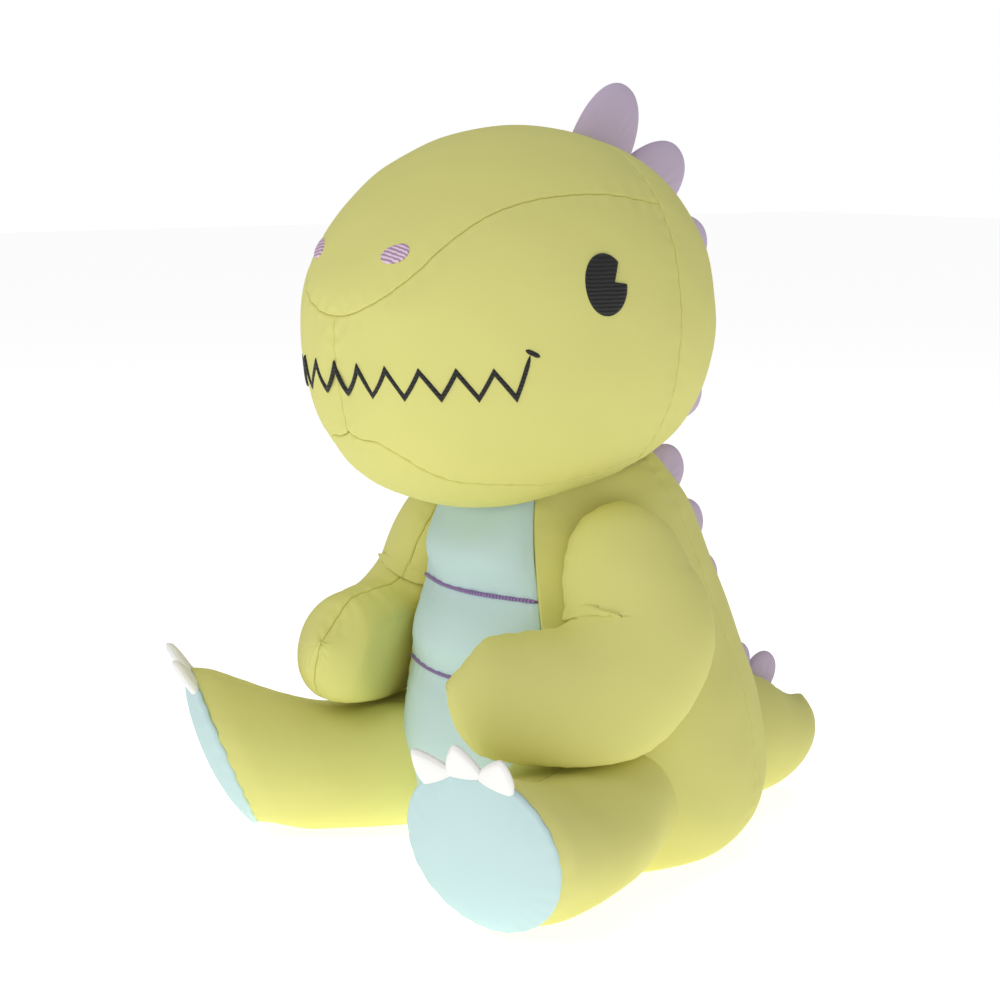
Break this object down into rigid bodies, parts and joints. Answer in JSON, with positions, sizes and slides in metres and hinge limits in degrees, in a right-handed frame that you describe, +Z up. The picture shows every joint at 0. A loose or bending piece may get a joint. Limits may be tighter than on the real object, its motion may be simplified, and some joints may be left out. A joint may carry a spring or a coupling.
{
  "type": "plush dinosaur",
  "caption": "Seated soft plush dinosaur with a large head, puffy scalloped back, felt claws and a blue belly; head, arms, legs and tail flex on stuffed joints.",
  "frame": {"origin": "centre of the flat seat face, on the surface the toy sits on", "axes": "+Z up, -Y the way the face looks, +X the toy's left"},
  "size_m": [0.2916, 0.3356, 0.3681],
  "materials": {
    "green_velour": "short pile",
    "blue_velour": "short pile",
    "purple_velour": "short pile",
    "white_felt": "matte",
    "black_thread": "satin",
    "purple_thread": "satin",
    "mauve_thread": "satin",
    "polyester_fibre": "matte"
  },
  "bodies": {
    "torso": {"back_spine_1": "purple_velour", "back_spine_2": "purple_velour", "back_spine_3": "purple_velour", "back_spine_4": "purple_velour", "belly_chest_panel": "blue_velour", "belly_line_1": "purple_thread", "belly_line_2": "purple_thread", "belly_lower_panel": "blue_velour", "belly_middle_panel": "blue_velour", "seat_panel": "green_velour", "torso_back_left": "green_velour", "torso_back_right": "green_velour", "torso_side_left": "green_velour", "torso_side_right": "green_velour", "torso_stuffing": "polyester_fibre"},
    "neck": {"neck_stuffing": "polyester_fibre"},
    "head": {"eye_left": "black_thread", "eye_right": "black_thread", "head_back_left": "green_velour", "head_back_right": "green_velour", "head_chin_panel": "green_velour", "head_crown_panel": "green_velour", "head_side_left": "green_velour", "head_side_right": "green_velour", "head_spine_1": "purple_velour", "head_spine_2": "purple_velour", "head_spine_3": "purple_velour", "head_spine_4": "purple_velour", "head_spine_5": "purple_velour", "head_stuffing": "polyester_fibre", "mouth_stitching": "black_thread", "nostril_left": "mauve_thread", "nostril_right": "mauve_thread"},
    "arm_left": {"arm_left_inner_panel": "green_velour", "arm_left_outer_panel": "green_velour", "arm_left_stuffing": "polyester_fibre"},
    "arm_right": {"arm_right_inner_panel": "green_velour", "arm_right_outer_panel": "green_velour", "arm_right_stuffing": "polyester_fibre"},
    "leg_left": {"leg_left_claw_1": "white_felt", "leg_left_claw_2": "white_felt", "leg_left_claw_3": "white_felt", "leg_left_inner_panel": "green_velour", "leg_left_outer_panel": "green_velour", "leg_left_sole": "blue_velour", "leg_left_stuffing": "polyester_fibre"},
    "leg_right": {"leg_right_claw_1": "white_felt", "leg_right_claw_2": "white_felt", "leg_right_claw_3": "white_felt", "leg_right_inner_panel": "green_velour", "leg_right_outer_panel": "green_velour", "leg_right_sole": "blue_velour", "leg_right_stuffing": "polyester_fibre"},
    "tail": {"tail_left_panel": "green_velour", "tail_right_panel": "green_velour", "tail_spine_1": "purple_velour", "tail_spine_2": "purple_velour", "tail_stuffing": "polyester_fibre"}
  },
  "joints": [
    {"name": "head_nod", "type": "hinge", "parent": "torso", "child": "neck", "pos_m": [0, -0.015, 0.15], "axis": [1, 0, 0], "range_deg": [-5, 5], "stiffness_Nm_per_rad": 2.5, "springref_deg": -1.72},
    {"name": "head_turn", "type": "hinge", "parent": "neck", "child": "head", "pos_m": [0, -0.015, 0.15], "axis": [0, 0, 1], "range_deg": [-22, 22], "stiffness_Nm_per_rad": 1},
    {"name": "arm_left_raise", "type": "hinge", "parent": "torso", "child": "arm_left", "pos_m": [0.064, -0.028, 0.168], "axis": [-0.86, 0.42, -0.29], "range_deg": [0, 25], "stiffness_Nm_per_rad": 0.4, "springref_deg": -1.15},
    {"name": "arm_right_raise", "type": "hinge", "parent": "torso", "child": "arm_right", "pos_m": [-0.064, -0.028, 0.168], "axis": [-0.86, -0.42, 0.29], "range_deg": [0, 25], "stiffness_Nm_per_rad": 0.4, "springref_deg": -1.15},
    {"name": "leg_left_splay", "type": "hinge", "parent": "torso", "child": "leg_left", "pos_m": [0.058, -0.034, 0.0385], "axis": [0, 0, 1], "range_deg": [-6, 14], "stiffness_Nm_per_rad": 0.8},
    {"name": "leg_right_splay", "type": "hinge", "parent": "torso", "child": "leg_right", "pos_m": [-0.058, -0.034, 0.0385], "axis": [0, 0, -1], "range_deg": [-6, 14], "stiffness_Nm_per_rad": 0.8},
    {"name": "tail_wag", "type": "hinge", "parent": "torso", "child": "tail", "pos_m": [0, 0.08, 0.04], "axis": [0, 0, 1], "range_deg": [-15, 15], "stiffness_Nm_per_rad": 0.5}
  ]
}
